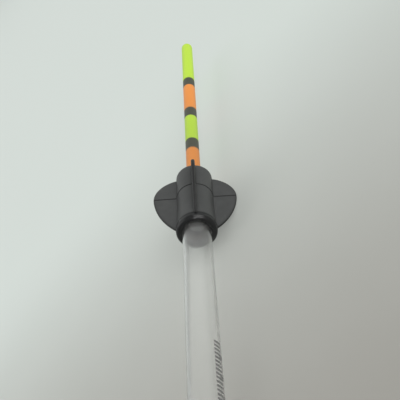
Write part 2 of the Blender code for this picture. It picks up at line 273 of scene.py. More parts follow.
surface(
    nodes,
    {
        "Base Color": smears_and_shade_lines.blend(TUBE_CLEAR, TUBE_SMEAR_AND_SHADE),
        "Roughness": 0.10 + 0.03 * smears + 0.03 * draw_lines + 0.10 * shade_lines,
        "IOR": 1.49,
        "Transmission Weight": 0.99,
        "Normal": nodes.bump(draw_lines, 0.0000006),
    },
)
body_tube.data.materials.append(clear_plastic)
# A clear tube casts next to no shadow
body_tube.visible_shadow = False
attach(body_tube, "float_body")
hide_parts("body_tube")


# Depth marks: a scale of plain lines printed in grey ink along one side of the clear tube, with
# every fifth line longer. The ink is a thin film on the tube's outer side.

MARK_COUNT = 48
MARK_PITCH = 0.00125
MARK_WIDTH = 0.0007
MARK_TOP_DROP = 0.0683
MARK_SIDE = math.radians(38)
MARK_SPANS = np.radians((30, 30, 30, 30, 48))
INK_LIFT = 0.000006
INK_THICKNESS = 0.00002
INK_FULL = (0.14, 0.14, 0.136, 1.0)
INK_THIN = (0.27, 0.27, 0.262, 1.0)

mark = np.arange(MARK_COUNT)
mark_span = MARK_SPANS[(mark + 1) % len(MARK_SPANS)]
mark_height = tube_top - MARK_TOP_DROP - MARK_PITCH * mark


def curved_bars(name, radius, heights, start, spans, width, lift, thickness, steps=8):
    """Thin bars that lie round the tube: a small rectangle carried along an arc for each bar."""
    turn = start + spans[:, None] * np.linspace(0, 1, steps + 1)
    rise = radius + lift + np.array((0, thickness, thickness, 0))
    side = width * np.array((-0.5, -0.5, 0.5, 0.5))
    own_points = np.stack(
        np.broadcast_arrays(
            rise * np.cos(turn)[..., None],
            rise * np.sin(turn)[..., None],
            heights[:, None, None] + side,
        ),
        axis=-1,
    )
    number = np.arange(own_points[..., 0].size).reshape(own_points.shape[:3])
    first, second = number[:, :-1], number[:, 1:]
    walls = np.stack((first, second, np.roll(second, -1, 2), np.roll(first, -1, 2)), axis=-1)
    ends = np.concatenate((number[:, 0], number[:, -1, ::-1]))
    points = axis_point + own_points.reshape(-1, 3) @ own_axes
    return add_piece(name, points, walls.reshape(-1, 4).tolist() + ends.tolist())


depth_marks = curved_bars(
    "depth_marks",
    tube_radius,
    mark_height,
    MARK_SIDE,
    mark_span,
    MARK_WIDTH,
    INK_LIFT,
    INK_THICKNESS,
)
mark_ink, nodes = new_finish("mark_ink")
thin_spots = nodes.noise(own_place(nodes), 0.0003, detail=3).between(0.55, 0.75)
surface(
    nodes,
    {
        "Base Color": thin_spots.blend(INK_FULL, INK_THIN),
        "Roughness": 0.4 + 0.2 * thin_spots,
    },
)
depth_marks.data.materials.append(mark_ink)
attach(depth_marks, "float_body")


# Tip socket: a clear moulded sleeve with a solid round nose, glued in the top of the tube. Its
# lip sits on the tube's end, and its bore takes the tip as a push fit.

SOCKET_GLUE_GAP = 0.0001
SOCKET_BORE = 0.00265
SOCKET_FLOOR = 0.010
SOCKET_LIP = 0.0012
SOCKET_NOSE = 0.0022
SOCKET_EDGE = 0.00015
SOCKET_CLEAR = (0.95, 0.955, 0.95, 1.0)
SOCKET_SHADE_GREY = (0.50, 0.505, 0.50, 1.0)
GREY_STARTS = 0.021
GREY_FULL = 0.017

socket_low, socket_top, socket_lip_radius = reach("antenna_socket")
socket_radius = tube_bore - SOCKET_GLUE_GAP
antenna_socket = turned(
    "clear_tip_socket",
    rounded(
        [
            (0.0, socket_low + SOCKET_FLOOR, 0.0),
            (SOCKET_BORE, socket_low + SOCKET_FLOOR, SOCKET_EDGE),
            (SOCKET_BORE, socket_top, SOCKET_EDGE),
            (socket_lip_radius, socket_top, SOCKET_EDGE),
            (socket_lip_radius, socket_top - SOCKET_LIP, 0.0),
            (socket_radius, socket_top - SOCKET_LIP, SOCKET_EDGE),
            (socket_radius, socket_low, SOCKET_NOSE),
            (0.0, socket_low, 0.0),
        ],
        steps=10,
    ),
    ring=False,
)
socket_plastic, nodes = new_finish("socket_plastic")
haze = nodes.noise(own_place(nodes), 0.0025, detail=4)
# Painted shade: the upper part is painted grey, where the black collar shuts the light out from
# above
below_lip = float(socket_top) - own_height(nodes)
painted_collar_shade = (1.0 - below_lip.between(GREY_FULL, GREY_STARTS)) * (0.8 + 0.4 * haze)
surface(
    nodes,
    {
        "Base Color": painted_collar_shade.blend(SOCKET_CLEAR, SOCKET_SHADE_GREY),
        "Roughness": 0.06 + 0.08 * haze,
        # The clear glue round it bends light as the plastic does, so its sides hardly show
        "IOR": 1.03,
        "Transmission Weight": 0.985,
        "Normal": nodes.bump(haze, 0.00002),
    },
)
antenna_socket.data.materials.append(socket_plastic)
# Like the tube, it casts next to no shadow
antenna_socket.visible_shadow = False
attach(antenna_socket, "float_body")
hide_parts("antenna_socket")


# Flight collar: a satin black moulding of a sleeve and four curved fins, pushed over the tube's
# top and glued. The mould's two halves meet in a step and a fine groove round sleeve and fins.

COLLAR_GLUE_GAP = 0.0001
COLLAR_WALL = 0.0015
COLLAR_RIM_ROUND = 0.0005
COLLAR_EDGE = 0.00015
TIP_HOLE = 0.0027
MOUTH_FLARE = 0.00025
MOUTH_LENGTH = 0.008
MOUTH_EDGE = 0.00003
PARTING_DROP = 0.01085
PARTING_STEP = 0.00012
STEP_RISE = 0.00006
PARTING_GROOVE = 0.00014
GROOVE_WIDTH = 0.00009
GROOVE_DROP = 0.0001
FIN_RADIUS = 0.01395
FIN_TOP_DROP = 0.00145
FIN_SEAM_DROP = 0.00035
FIN_HEEL_RADIUS = 0.0070
FIN_HEEL_LIFT = 0.00008
FIN_INSET = 0.0004
FIN_ROOT_THICKNESS = 0.0013
FIN_EDGE_THICKNESS = 0.0012
FIN_EDGE_ROUND = 0.0005
FIN_ROUND_SHARE = 0.95
FIN_FILLET = 0.0002
FIN_TOP_HANDLES = ((0.01, 0.20), (0.33, 1.00))
FIN_HEEL_HANDLES = ((0.05, 0.0), (0.615, 0.05))
HEEL_ROUND = 0.00012
# Fins lower than the first have fainter painted shade along their edge, lower than the second
# smaller rounds, and lower than the third they fade into the sleeve. No fin's section is worked
# out lower than the last.
HIGH_FIN = 0.001
SMALL_FIN = 0.0008
FADING_FIN = 0.0004
LEAST_FIN = 0.00005
COLLAR_BLACK = (0.046, 0.047, 0.047, 1.0)
COLLAR_SCUFFED = (0.096, 0.097, 0.096, 1.0)
COLLAR_SHADED = (0.004, 0.004, 0.004, 1.0)
# How far the painted shade reaches: from a fin's edge, from the mouth, and from a seam
FIN_RIM_REACH = 0.0003
MOUTH_DARK = 0.0014
MOUTH_FADE = 0.0008
MOUTH_RIM_REACH = 0.0004
SEAM_WIDTH = 0.00022
SEAM_SHADE = 0.75
# Further off the sleeve than this, a seam is the fin's own
ON_FIN = 0.0003
# The grid column along the middle of a fin's root fillet, and how many columns its painted shade
# covers
FILLET_COLUMN = 27
FILLET_COLUMNS = 2.5

collar_low, collar_top, _ = reach("flight_collar")
collar_length = collar_top - collar_low
collar_bore = tube_radius + COLLAR_GLUE_GAP
collar_radius = collar_bore + COLLAR_WALL
parting = collar_length - PARTING_DROP
fin_seam = parting - FIN_SEAM_DROP
collar_shoulder = socket_top + SOCKET_GLUE_GAP - collar_low
mouth_radius = collar_radius - PARTING_STEP + MOUTH_FLARE


def smooth_step(share):
    """Zero up to zero, one from one on, and a smooth rise from one to the other."""
    share = np.clip(share, 0, 1)
    return share * share * (3 - 2 * share)


def fin_curve(start, end, handles, steps=80):
    """A cubic from start to end, its handles given as shares of the way across and down."""
    start, end = np.array(start), np.array(end)
    inner = start + np.array(handles) * (end - start)
    t = np.linspace(0, 1, steps)[:, None]
    weights = ((1 - t) ** 3, 3 * t * (1 - t) ** 2, 3 * t * t * (1 - t), t**3)
    return sum(weight * point for weight, point in zip(weights, (start, *inner, end)))


def fin_edge(height):
    """Radius of the fin's edge at each height: two cubics that meet at the fin's seam."""
    top_end = collar_length - FIN_TOP_DROP
    widest = (fin_seam, FIN_RADIUS)
    top = fin_curve((top_end, collar_radius + FIN_INSET), widest, FIN_TOP_HANDLES)
    heel = fin_curve(widest, (FIN_HEEL_LIFT, FIN_HEEL_RADIUS), FIN_HEEL_HANDLES)
    outline = np.concatenate((((top_end + FIN_INSET / 2, collar_radius),), top, heel[1:]))[::-1]
    edge = np.interp(height, outline[:, 0], outline[:, 1])
    share = np.clip((height - FIN_HEEL_LIFT) / HEEL_ROUND, 0, 1)
    return collar_radius + (edge - collar_radius) * np.sqrt(1 - (1 - share) ** 2)


def collar_section(sleeve, edge, inset):
    """Half a fin and half the sleeve beside it, from the fin's edge to midway between two fins.

    One row for each height: across the edge, round its corner, down the tapered side, through
    the root fillet and along the sleeve. Where the fin runs out, the row becomes a plain arc.
    """
    sleeve, edge, inset = sleeve[:, None], edge[:, None], inset[:, None]
    size = np.clip((edge - sleeve) / SMALL_FIN, 0.05, 1)
    fillet = FIN_FILLET * size
    top = np.maximum(edge, sleeve + LEAST_FIN)
    taper = (FIN_ROOT_THICKNESS - FIN_EDGE_THICKNESS) / (FIN_RADIUS - collar_radius) / 2
    root_half = FIN_ROOT_THICKNESS / 2 - inset
    top_half = root_half - taper * (top - sleeve)
    tip_round = np.minimum(FIN_EDGE_ROUND * size, FIN_ROUND_SHARE * top_half)
    edge_half = root_half - taper * (top - tip_round - sleeve)
    flat = np.linspace(0, 1, 4) * (edge_half - tip_round)
    corner_x = np.sqrt(top**2 - (edge_half - tip_round) ** 2) - tip_round
    bend = np.radians(np.linspace(0, 90, 6)[1:])
    fillet_y = root_half + fillet
    fillet_x = np.sqrt((sleeve + fillet) ** 2 - fillet_y**2)
    slide = (1 - np.cos(np.pi * np.linspace(0, 1, 16)[1:-1])) / 2
    meet = np.arctan2(fillet_y, fillet_x)
    hollow = -np.pi / 2 + (meet - np.pi / 2) * np.linspace(0, 1, 7)
    valley = meet + (np.pi / 4 - meet) * np.linspace(0, 1, 15)[1:]
    x = np.concatenate(
        (
            np.sqrt(top**2 - flat**2),
            corner_x + tip_round * np.cos(bend),
            corner_x + (fillet_x - corner_x) * slide,
            fillet_x + fillet * np.cos(hollow),
            sleeve * np.cos(valley),
        ),
        axis=1,
    )
    y = np.concatenate(
        (
            flat,
            edge_half - tip_round + tip_round * np.sin(bend),
            edge_half + (root_half - edge_half) * slide,
            fillet_y + fillet * np.sin(hollow),
            sleeve * np.sin(valley),
        ),
        axis=1,
    )
    counts = (flat.shape[1], len(bend), len(slide), hollow.shape[1], valley.shape[1])
    # On the plain arc, the angles where the five stretches of the row start and end
    bounds = np.radians((0, 3.5, 4.5, 5.5, 8.0, 45.0))
    plain = np.concatenate(
        [
            np.linspace(low, high, count, endpoint=high == bounds[-1])
            for low, high, count in zip(bounds, bounds[1:], counts)
        ]
    )
    there = smooth_step((edge - sleeve) / FADING_FIN)
    arc = np.stack((sleeve * np.cos(plain), sleeve * np.sin(plain)), axis=-1)
    return arc + there[..., None] * (np.stack((x, y), axis=-1) - arc)


# The grid's heights are closest at both ends of the fins and at the seams
stations = np.concatenate(
    (
        np.linspace(collar_length - 0.0009, collar_length - 0.0022, 18),
        np.linspace(collar_length - 0.0024, parting + 0.0006, 42),
        np.linspace(parting + 0.0005, fin_seam - 0.0007, 34),
        np.linspace(fin_seam - 0.0009, 0.0011, 54),
        np.linspace(0.0010, FIN_HEEL_LIFT, 22),
    )
)
collar_profile = rounded(
    [
        (TIP_HOLE, collar_length, COLLAR_EDGE),
        (collar_radius, collar_length, COLLAR_RIM_ROUND),
        (mouth_radius, 0.0, MOUTH_EDGE),
        (collar_bore, 0.0, COLLAR_EDGE),
        (collar_bore, collar_shoulder, COLLAR_EDGE),
        (TIP_HOLE, collar_shoulder, COLLAR_EDGE),
    ]
)
above_fins = len(collar_profile) // 3


def seam_inset(height, seam):
    """How far the surface lies back: a step below the seam, and a groove just under it."""
    groove = np.exp(-(((height - seam + GROOVE_DROP) / GROOVE_WIDTH) ** 2))
    return PARTING_STEP * smooth_step((seam - height) / STEP_RISE) + PARTING_GROOVE * groove


flare = MOUTH_FLARE * smooth_step(1 - stations / MOUTH_LENGTH)
sleeve_radii = collar_radius - seam_inset(stations, parting) + flare
fin_outline = np.stack((sleeve_radii, stations), axis=-1)
sleeve_path = np.concatenate(
    (collar_profile[:above_fins], fin_outline, collar_profile[above_fins:])
)
fin_path = sleeve_path[:, 0].copy()
fin_rows = slice(above_fins, above_fins + len(stations))
fin_path[fin_rows] = np.maximum(fin_edge(stations), fin_path[fin_rows])
inset_path = np.zeros(len(sleeve_path))
inset_path[fin_rows] = seam_inset(stations, fin_seam)
half = collar_section(sleeve_path[:, 0], fin_path, inset_path)
sector = np.concatenate((half[:, :0:-1] * (1, -1), half[:, :-1]), axis=1)
quarter = np.radians(90) * np.arange(4)
turns = np.stack(
    (np.cos(quarter), np.sin(quarter), -np.sin(quarter), np.cos(quarter)), axis=-1
).reshape(4, 2, 2)
section = np.einsum("rcx,qxy->rqcy", sector, turns).reshape(len(sector), -1, 2)
collar_heights = np.broadcast_to(collar_low + sleeve_path[:, 1:2], section.shape[:2])
distance = np.linalg.norm(section, axis=-1)
off_sleeve = distance - sleeve_path[:, :1]
# Painted shade: darker along the fin edges, at the mouth, in the bore, in the seam grooves and at
# the fin roots
proud = smooth_step((fin_path - sleeve_path[:, 0]) / HIGH_FIN)[:, None]
fin_edge_shade = proud * np.exp(-np.maximum(fin_path[:, None] - distance, 0) / FIN_RIM_REACH)
near_mouth = smooth_step((MOUTH_DARK - sleeve_path[:, 1:]) / MOUTH_FADE)
mouth_shade = near_mouth * np.exp(-np.maximum(off_sleeve, 0) / MOUTH_RIM_REACH)
bore_shade = (sleeve_path[:, :1] < collar_bore + 0.00001) + 0 * distance
seam_height = np.where(off_sleeve > ON_FIN, fin_seam, parting)
from_seam = sleeve_path[:, 1:] + GROOVE_DROP - seam_height
seam_groove_shade = SEAM_SHADE * np.exp(-((from_seam / SEAM_WIDTH) ** 2))
off_root = (np.arange(half.shape[1]) - FILLET_COLUMN) / FILLET_COLUMNS
half_root_shade = np.exp(-(off_root**2))
root_shade_columns = np.tile(np.append(half_root_shade[:0:-1], half_root_shade[:-1]), 4)
flight_collar = skin(
    "finned_flight_collar",
    np.concatenate((section, collar_heights[..., None]), axis=-1),
    ring=True,
    marks={
        "painted_edge_shade": np.max((fin_edge_shade, mouth_shade, bore_shade, seam_groove_shade), axis=0),
        "painted_root_shade": proud * root_shade_columns,
    },
)
satin_black, nodes = new_finish("satin_black")
mould_grain = nodes.noise(own_place(nodes), 0.00022, detail=3)
clouds = nodes.noise(own_place(nodes), 0.004, detail=4)
scuffs = nodes.noise(own_place(nodes, drawn_out=8), 0.0005, detail=3).between(0.62, 0.78)
# The two marks carry painted shade for the edges, mouth, bore, seams and fin roots
rim = nodes.node("Attribute", output="Fac", attribute_name="painted_edge_shade")
root = nodes.node("Attribute", output="Fac", attribute_name="painted_root_shade")
pale = (0.6 * clouds + 0.35 * scuffs).between(0.1, 1.1)
painted_shade = nodes.math("MAXIMUM", rim * (0.75 + 0.25 * clouds), 0.22 * root)
bare = pale.blend(COLLAR_BLACK, COLLAR_SCUFFED)
surface(
    nodes,
    {
        "Base Color": painted_shade.blend(bare, COLLAR_SHADED),
        "Roughness": 0.42 + 0.12 * clouds + 0.08 * scuffs + 0.25 * root + 0.10 * rim,
        "Specular IOR Level": 0.3,
        "Normal": nodes.bump(mould_grain, 0.000012),
    },
)
flight_collar.data.materials.append(satin_black)
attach(flight_collar, "float_body")
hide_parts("flight_collar")


# Stop ring: a glossy black rubber ring, stretched over the tube and pushed up against the
# collar's mouth. A groove parts its broad shoulder from the lip that ends on the tube.

RING_GLUE_GAP = 0.0001
RING_NOSE_WALL = 0.0005
RING_EDGE = 0.00008
RING_LIP_EDGE = 0.0001
RING_GROOVE_DEPTH = 0.00022
RING_GROOVE_WIDTH = 0.00016
RING_GROOVE_SHARE = 0.44
RING_BLACK = (0.003, 0.003, 0.0035, 1.0)
RING_BLOOM = (0.009, 0.009, 0.0095, 1.0)
GLUE_GREY = (0.05, 0.05, 0.05, 1.0)
GLUE_FULL = 0.00002
GLUE_ENDS = 0.00012

ring_low, ring_top, ring_radius = reach("stop_ring")
ring_bore = tube_radius + RING_GLUE_GAP
ring_length = ring_top - ring_low
ring_nose = ring_bore + RING_NOSE_WALL
ring_half = ring_length / 2
# Straight for the upper half, then a quarter of an ellipse down to the lip
ring_straight = np.linspace(ring_length - 1.5 * RING_EDGE, ring_half, 10)[:-1]
ring_bow = np.linspace(0, np.pi / 2, 30)
ring_heights = np.append(ring_straight, ring_half * (1 - np.sin(ring_bow)))
ring_outer = np.append(
    np.full(len(ring_straight), ring_radius),
    ring_nose + (ring_radius - ring_nose) * np.cos(ring_bow),
)
ring_groove = (ring_heights - RING_GROOVE_SHARE * ring_length) / RING_GROOVE_WIDTH
ring_outer -= RING_GROOVE_DEPTH * np.exp(-(ring_groove**2))
ring_corners = rounded(
    [
        (ring_radius, ring_length, RING_EDGE),
        (ring_radius, ring_half, 0.0),
        (ring_bore, 0.0, RING_LIP_EDGE),
        (ring_bore, ring_length, RING_LIP_EDGE),
    ]
)
corner_rows = len(ring_corners) // 3
ring_profile = np.concatenate(
    (
        ring_corners[:corner_rows],
        np.stack((ring_outer, ring_heights), axis=-1),
        ring_corners[corner_rows + 1 :],
    )
)
stop_ring = turned("rubber_stop_ring", ring_profile + (0.0, ring_low), steps=128)


def axis_distance(nodes):
    """The distance from the float's axis."""
    own = own_place(nodes)
    across, over = (nodes.node("SeparateXYZ", {0: own}, output=side) for side in "XY")
    return nodes.math("SQRT", across * across + over * over)


glossy_rubber, nodes = new_finish("glossy_rubber")
bloom = nodes.noise(own_place(nodes), 0.0015, detail=5)
waves = nodes.noise(own_place(nodes), 0.0009, detail=2)
# A thin film of glue shows grey where the ring meets the tube
glue_film = 1.0 - axis_distance(nodes).between(ring_bore + GLUE_FULL, ring_bore + GLUE_ENDS)
black = bloom.blend(RING_BLACK, RING_BLOOM)
surface(
    nodes,
    {
        "Base Color": glue_film.blend(black, GLUE_GREY),
        "Roughness": 0.16 + 0.14 * bloom,
        "Specular IOR Level": 0.34,
        "Normal": nodes.bump(waves, 0.00006),
    },
)
stop_ring.data.materials.append(glossy_rubber)
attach(stop_ring, "float_body")
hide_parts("stop_ring")


# Tip: a slim hollow plastic tube with a domed end, dipped in fluorescent paint and banded. It
# pushes down through the collar into the socket, and pulls out again.

TIP_WALL = 0.0005
TIP_DOME = 0.0025
TIP_FOOT_EDGE = 0.00012
# Rows of the plain side start this far below the dome and end this far above the foot's rows
TIP_SIDE_GAPS = (0.0004, 0.0002)
TIP_FOOT_LENGTH = 0.001
TIP_ROWS = 60
BAND_LENGTHS = (0.01725, 0.0066, 0.0169, 0.0066, 0.0193, 0.0066)
BAND_SOFTNESS = 0.00012
BAND_WANDER = 0.0005
PAINT_ORANGE = (0.715, 0.226, 0.020)
PAINT_BLACK = (0.023, 0.025, 0.010)
PAINT_YELLOW = (0.415, 0.63, 0.0138)
BAND_PAINTS = (PAINT_ORANGE, PAINT_BLACK, PAINT_YELLOW, PAINT_BLACK) * 2
PAINT_FALLOFF_SHADE = (0.05, 0.05, 0.04, 1.0)
PAINT_DULLED = (0.62, 0.62, 0.50, 1.0)
# Painted glow: the paint's emission stands in for its fluorescence, and shines the same whatever
# the light
PAINT_GLOW = 0.12

tip_foot, _, tip_radius = reach("antenna_tube")
_, tip_end, _ = reach("antenna_cap")
tip_length = tip_end - tip_foot
tip_bore = tip_radius - TIP_WALL
dome = np.radians(np.linspace(90, 0, 20))
dome_points = np.stack(
    (tip_radius * np.cos(dome), tip_end - TIP_DOME + TIP_DOME * np.sin(dome)), axis=-1
)
dome_points[0, 0] = 0.0
side_top = tip_end - TIP_DOME - TIP_SIDE_GAPS[0]
side_low = tip_foot + TIP_FOOT_LENGTH + TIP_SIDE_GAPS[1]
tip_heights = np.linspace(side_top, side_low, TIP_ROWS)
tip_side = np.stack((np.full(TIP_ROWS, tip_radius), tip_heights), axis=-1)
tip_inside = rounded(
    [
        (tip_radius, tip_foot + TIP_FOOT_LENGTH, 0.0),
        (tip_radius, tip_foot, TIP_FOOT_EDGE),
        (tip_bore, tip_foot, TIP_FOOT_EDGE),
        (tip_bore, tip_end - TIP_DOME, TIP_FOOT_EDGE),
        (0.0, tip_end - TIP_DOME, 0.0),
    ]
)
banded_tip = turned(
    "banded_tip", np.concatenate((dome_points, tip_side, tip_inside)), ring=False, steps=72
)
band_edges = collar_top + np.cumsum(BAND_LENGTHS)
band_stops = [(0.0, PAINT_ORANGE)]
for edge, lower_paint, upper_paint in zip(band_edges, BAND_PAINTS, BAND_PAINTS[1:]):
    share = (edge - tip_foot) / tip_length
    soft = BAND_SOFTNESS / tip_length
    band_stops += [(share - soft, lower_paint), (share + soft, upper_paint)]
tip_paint, nodes = new_finish("banded_paint")
wander = nodes.noise(own_place(nodes), 0.0022, detail=2) - 0.5
above_foot = own_height(nodes) + BAND_WANDER * wander - float(tip_foot)
level_share = above_foot * float(1 / tip_length)
bands = nodes.node("ValToRGB", {"Fac": level_share}, stops=band_stops)
runs = nodes.noise(own_place(nodes, drawn_out=10), 0.0009, detail=3)
dulled = nodes.noise(own_place(nodes), 0.003, detail=5)
# Painted shade: the paint darkens towards the collar end, where the light falls off
collar_end_shade = 1.0 - level_share.between(0.25, 0.75)
bands_with_shade = (0.24 * collar_end_shade).blend(bands, PAINT_FALLOFF_SHADE)
surface(
    nodes,
    {
        "Base Color": (0.05 * dulled).blend(bands_with_shade, PAINT_DULLED),
        "Roughness": 0.36 + 0.16 * dulled + 0.06 * runs,
        "Emission Color": bands_with_shade,
        "Emission Strength": PAINT_GLOW,
        "Normal": nodes.bump(runs, 0.00002, 0.6),
    },
)
banded_tip.data.materials.append(tip_paint)
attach(banded_tip, "tip")
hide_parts("antenna_tube", "antenna_cap")


# Tip foot: a black plastic plug pressed in the tip's lower end, which keeps water out of it and
# rests on the socket's floor.

FOOT_BLACK = (0.02, 0.02, 0.02, 1.0)
FOOT_PALE = (0.045, 0.045, 0.043, 1.0)

foot_plastic, nodes = new_finish("foot_plastic")
foot_grain = nodes.noise(own_place(nodes), 0.0003, detail=3)
surface(
    nodes,
    {
        "Base Color": foot_grain.blend(FOOT_BLACK, FOOT_PALE),
        "Roughness": 0.35 + 0.2 * foot_grain,
        "Normal": nodes.bump(foot_grain, 0.00001),
    },
)
antenna_foot = frame["nodes"]["antenna_foot"]
antenna_foot.data.materials.clear()
antenna_foot.data.materials.append(foot_plastic)


# Base plug: a black plastic moulding glued in the tube's foot. Its flange covers the tube's end,
# and the brass insert for the base screw is set in it.

PLUG_FLANGE = 0.002
PLUG_EDGE = 0.0004
PLUG_CHAMFER = 0.0005
PLUG_SMALL_EDGE = 0.0001
INSERT_SEAT = 0.0025
SEAT_DEPTH = 0.0071
PLUG_BLACK = (0.022, 0.022, 0.022, 1.0)
PLUG_PALE = (0.05, 0.05, 0.048, 1.0)

plug_low, plug_top, flange_radius = reach("base_plug")
plug_radius = tube_bore - SOCKET_GLUE_GAP
base_plug = turned(
    "moulded_base_plug",
    rounded(
        [
            (0.0, plug_top, 0.0),
            (plug_radius, plug_top, PLUG_CHAMFER),
            (plug_radius, plug_low + PLUG_FLANGE, PLUG_SMALL_EDGE),
            (flange_radius, plug_low + PLUG_FLANGE, PLUG_EDGE),
            (flange_radius, plug_low, PLUG_SMALL_EDGE),
            (INSERT_SEAT, plug_low, PLUG_SMALL_EDGE),
            (INSERT_SEAT, plug_low + SEAT_DEPTH, PLUG_SMALL_EDGE),
            (0.0, plug_low + SEAT_DEPTH, 0.0),
        ]
    ),
    ring=False,
)
plug_plastic, nodes = new_finish("plug_plastic")
plug_grain = nodes.noise(own_place(nodes), 0.0002, detail=3)
plug_clouds = nodes.noise(own_place(nodes), 0.003, detail=4)
surface(
    nodes,
    {
        "Base Color": plug_clouds.blend(PLUG_BLACK, PLUG_PALE),
        "Roughness": 0.30 + 0.18 * plug_clouds,
        "Normal": nodes.bump(plug_grain, 0.00001),
    },
)
base_plug.data.materials.append(plug_plastic)
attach(base_plug, "float_body")
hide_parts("base_plug")


# Threaded insert: a turned brass nut with a keying groove, pressed in the plug while hot. Only
# its end face shows, and only where the washer's hole is wider than the screw.

BRASS_BRIGHT = (0.80, 0.58, 0.25, 1.0)
BRASS_BROWN = (0.50, 0.31, 0.11, 1.0)


def turned_brass(name, roughness):
    """Brass as it comes off the lathe: fine rings round the axis, and a little brown tarnish."""
    material, nodes = new_finish(name)
    ring_place = nodes.node("CombineXYZ", {0: axis_distance(nodes), 1: own_height(nodes), 2: 0.0})
    tool_rings = nodes.noise(ring_place, 0.00007, detail=2)
    tarnish = nodes.noise(own_place(nodes), 0.0014, detail=5).between(0.42, 0.72)
    surface(
        nodes,
        {
            "Base Color": tarnish.blend(BRASS_BRIGHT, BRASS_BROWN),
            "Metallic": 1.0,
            "Roughness": roughness + 0.12 * tool_rings + 0.22 * tarnish,
            "Normal": nodes.bump(tool_rings, 0.000008),
        },
    )
    return material


bright_brass = turned_brass("bright_brass", 0.16)
threaded_insert = frame["nodes"]["threaded_insert"]
threaded_insert.data.materials.clear()
threaded_insert.data.materials.append(bright_brass)


# Seal washer: a soft rubber ring punched from sheet. The screw clamps it between plug and
# weights, where it keeps water out of the insert and stops the screw from working loose.

SCREW_HOLE = 0.00165
WASHER_EDGE = 0.0002
HOLE_EDGE = 0.00008
RUBBER_BLACK = (0.012, 0.012, 0.012, 1.0)
RUBBER_DUSTY = (0.05, 0.05, 0.049, 1.0)

washer_low, washer_top, washer_radius = reach("seal_washer")
seal_washer = turned(
    "punched_seal_washer",
    rounded(
        [
            (washer_radius, washer_top, WASHER_EDGE),
            (washer_radius, washer_low, WASHER_EDGE),
            (SCREW_HOLE, washer_low, HOLE_EDGE),
            (SCREW_HOLE, washer_top, HOLE_EDGE),
        ]
    ),
)
dull_rubber, nodes = new_finish("dull_rubber")
rubber_dust = nodes.noise(own_place(nodes), 0.0008, detail=5)
surface(
    nodes,
    {
        "Base Color": rubber_dust.blend(RUBBER_BLACK, RUBBER_DUSTY),
        "Roughness": 0.55 + 0.25 * rubber_dust,
        "Normal": nodes.bump(rubber_dust, 0.00002),
    },
)
seal_washer.data.materials.append(dull_rubber)
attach(seal_washer, "float_body")
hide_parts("seal_washer")


# Weight discs: three brass discs turned from bar, with broken edges. They slip over the base
# screw, and an angler adds or takes away discs until the float sits at the right depth.

DISC_EDGE = 0.00022

for disc_node in ("weight_disc_1", "weight_disc_2", "weight_disc_3"):
    disc_low, disc_top, disc_radius = reach(disc_node)
    disc = turned(
        "turned_" + disc_node,
        rounded(
            [
                (disc_radius, disc_top, DISC_EDGE),
                (disc_radius, disc_low, DISC_EDGE),
                (SCREW_HOLE, disc_low, HOLE_EDGE),
                (SCREW_HOLE, disc_top, HOLE_EDGE),
            ]
        ),
    )
    disc.data.materials.append(bright_brass)
    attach(disc, "weights")
    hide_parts(disc_node)


# Base screw: turned from brass bar in one piece, with a threaded shank that clamps the weights, a
# knurled head for finger and thumb, and a round nose bored for the swivel.

SCREW_RADIUS = 0.0015
SCREW_TIP_CHAMFER = 0.0003
THREAD_PITCH = 0.0005
THREAD_DEPTH = 0.00024
THREAD_ROWS_PER_TURN = 8
THREAD_RELIEF = 0.0001
HEAD_LENGTH = 0.0022
HEAD_EDGE = 0.0003
HEAD_ROWS = 10
KNURL_COUNT = 36
KNURL_DEPTH = 0.00024
KNURL_COLUMNS = 6
KNURL_RUN_OUT = 0.4
NOSE_ROWS = 21
NOSE_END_RADIUS = 0.0024
BARREL_SEAT_RADIUS = 0.0017
BARREL_SEAT_DEPTH = 0.0022
NOSE_EDGE = 0.00012

# Heights are measured from where the head meets the nose
nose_low, shank_top, head_radius = reach("base_screw")
shank_length = shank_top - HEAD_LENGTH
thread_rows = int(shank_length / THREAD_PITCH * THREAD_ROWS_PER_TURN)
thread_top = shank_top - SCREW_TIP_CHAMFER
thread_heights = np.linspace(thread_top, HEAD_LENGTH + THREAD_RELIEF, thread_rows)
thread_run_in = np.clip((shank_top - thread_heights) / THREAD_PITCH, 0, 1)
plain_head = head_radius - KNURL_DEPTH
head_bevel = KNURL_RUN_OUT * HEAD_EDGE
head_heights = np.linspace(HEAD_LENGTH - HEAD_EDGE, HEAD_EDGE, HEAD_ROWS)
nose_turn = np.radians(np.linspace(0, 90, NOSE_ROWS + 1)[1:])
nose_radii = NOSE_END_RADIUS + (plain_head - NOSE_END_RADIUS) * np.cos(nose_turn)
seat_floor = nose_low + BARREL_SEAT_DEPTH


def screw_part(radius, height, threaded=0.0, knurled=0.0):
    """Rows of the screw's profile, with their shares of the full depth of thread and knurl."""
    columns = np.atleast_1d(radius, height, threaded, knurled)
    return np.stack(np.broadcast_arrays(*columns), axis=-1)


screw_rows = np.concatenate(
    (
        screw_part((0.0, SCREW_RADIUS - SCREW_TIP_CHAMFER), shank_top),
        screw_part(SCREW_RADIUS, thread_heights, threaded=thread_run_in),
        screw_part((SCREW_RADIUS, plain_head - HEAD_EDGE), HEAD_LENGTH),
        screw_part(plain_head, HEAD_LENGTH - head_bevel, knurled=KNURL_RUN_OUT),
        screw_part(head_radius, head_heights, knurled=1.0),
        screw_part(plain_head, head_bevel, knurled=KNURL_RUN_OUT),
        screw_part(nose_radii, nose_low * np.sin(nose_turn)),
        screw_part(BARREL_SEAT_RADIUS + NOSE_EDGE, nose_low),
        screw_part(BARREL_SEAT_RADIUS, (nose_low + NOSE_EDGE, seat_floor)),
        screw_part(0.0, seat_floor),
    )
)
screw_radius, screw_height, threaded, knurled = screw_rows.T[..., None]
screw_angle = np.linspace(0, 2 * np.pi, KNURL_COLUMNS * KNURL_COUNT, endpoint=False)
